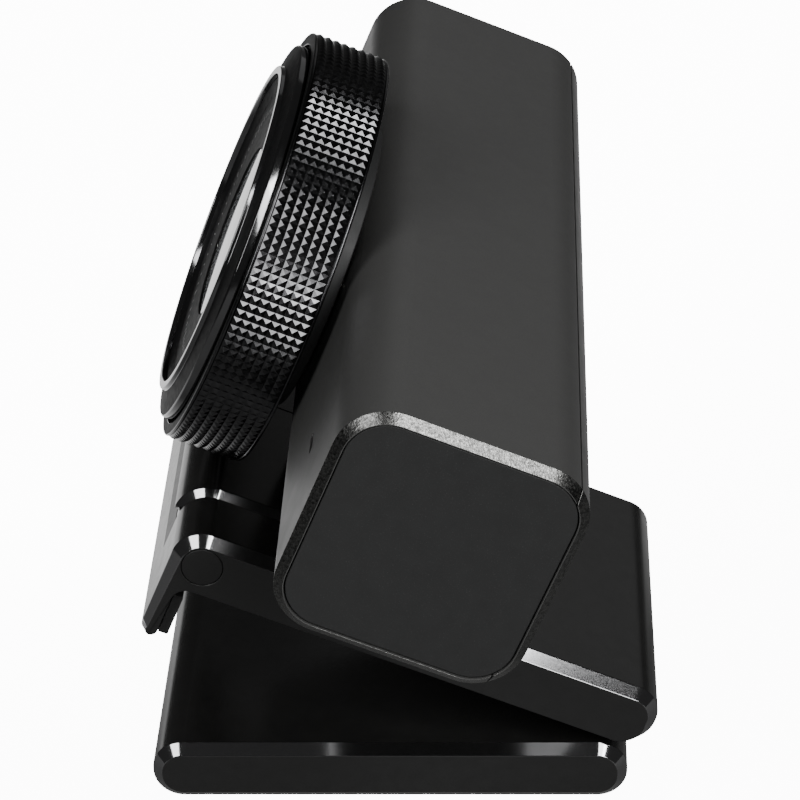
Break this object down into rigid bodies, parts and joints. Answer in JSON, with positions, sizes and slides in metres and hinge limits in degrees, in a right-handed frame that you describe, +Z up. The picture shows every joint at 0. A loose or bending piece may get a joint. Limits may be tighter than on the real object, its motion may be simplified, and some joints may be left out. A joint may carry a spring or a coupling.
{
  "type": "webcam on folding clip stand",
  "caption": "Square bar webcam with a large knurled focus ring round its lens, on a folding clip stand with a hooked lip, a swing arm and a swivel.",
  "frame": {"origin": "middle of the underside of the rubber foot, on the surface that the base stands on", "axes": "+X along the camera bar, -Y the side that the lens looks to, +Z up"},
  "size_m": [0.1, 0.0546, 0.08],
  "materials": {
    "stand_metal": "black anodised, smooth semi-gloss, with polished end chamfers",
    "bar_metal": "black anodised, fine bead-blasted satin",
    "ring_metal": "black anodised, knurled in small pyramids",
    "gloss_trim": "polished black",
    "end_plastic": "fine matte",
    "inner_plastic": "matte black",
    "rubber": "matte",
    "steel": "turned",
    "brass": "turned",
    "circuit_board": "solder mask",
    "bare_aluminium": "sawn",
    "glass": "coated"
  },
  "bodies": {
    "base": {"base_slab": "stand_metal", "foot_pad": "rubber", "tripod_socket": "brass", "fold_pin": "steel", "fold_washer_left": "steel", "fold_washer_right": "steel"},
    "clip": {"clip_plate": "stand_metal", "grip_pad": "rubber", "lip_pad": "rubber", "arm_pin": "steel", "arm_pin_cap_left": "stand_metal", "arm_pin_cap_right": "stand_metal"},
    "arm": {"swing_arm": "stand_metal", "pan_bolt": "steel", "pan_washer": "steel"},
    "head": {"swivel_puck": "stand_metal", "camera_stud": "steel", "swivel_pad": "rubber", "camera_nut": "brass", "body_shell": "bar_metal", "rear_cover": "bar_metal", "end_cap_left": "end_plastic", "end_cap_right": "end_plastic", "lens_housing": "bar_metal", "front_ring": "gloss_trim", "lens_bezel": "gloss_trim", "cover_glass": "glass", "chassis": "inner_plastic", "main_board": "circuit_board", "sensor_board": "circuit_board", "image_sensor": "inner_plastic", "infrared_filter": "glass", "processor": "inner_plastic", "heat_spreader": "bare_aluminium", "usb_socket": "steel", "microphone_left": "inner_plastic", "microphone_right": "inner_plastic", "board_screw_1": "steel", "board_screw_2": "steel", "board_screw_3": "steel", "board_screw_4": "steel", "housing_screw_1": "steel", "housing_screw_2": "steel", "housing_screw_3": "steel", "housing_screw_4": "steel"},
    "focus": {"focus_ring": "ring_metal"},
    "cell": {"lens_cell": "inner_plastic", "front_lens": "glass", "rear_lens": "glass"}
  },
  "joints": [
    {"name": "stand_fold", "type": "hinge", "parent": "base", "child": "clip", "pos_m": [0, 0.02215, 0.00375], "axis": [-1, 0, 0], "range_deg": [-23, 67]},
    {"name": "arm_lift", "type": "hinge", "parent": "clip", "child": "arm", "pos_m": [0, -0.01895, 0.02989], "axis": [1, 0, 0], "range_deg": [0, 45]},
    {"name": "head_pan", "type": "hinge", "parent": "arm", "child": "head", "pos_m": [0, -0.00496, 0.02395], "axis": [0, 0.3907, 0.9205], "range_deg": [-170, 170]},
    {"name": "focus_turn", "type": "hinge", "parent": "head", "child": "focus", "pos_m": [0, 0.0059, 0.04954], "axis": [0, -0.9205, 0.3907], "range_deg": [-60, 60]},
    {"name": "cell_slide", "type": "slide", "parent": "head", "child": "cell", "axis": [0, -0.9205, 0.3907], "range_m": [-0.001, 0.001]}
  ],
  "couplings": [
    {"joint": "cell_slide", "follows": "focus_turn", "m_per_rad": 0.00095}
  ]
}
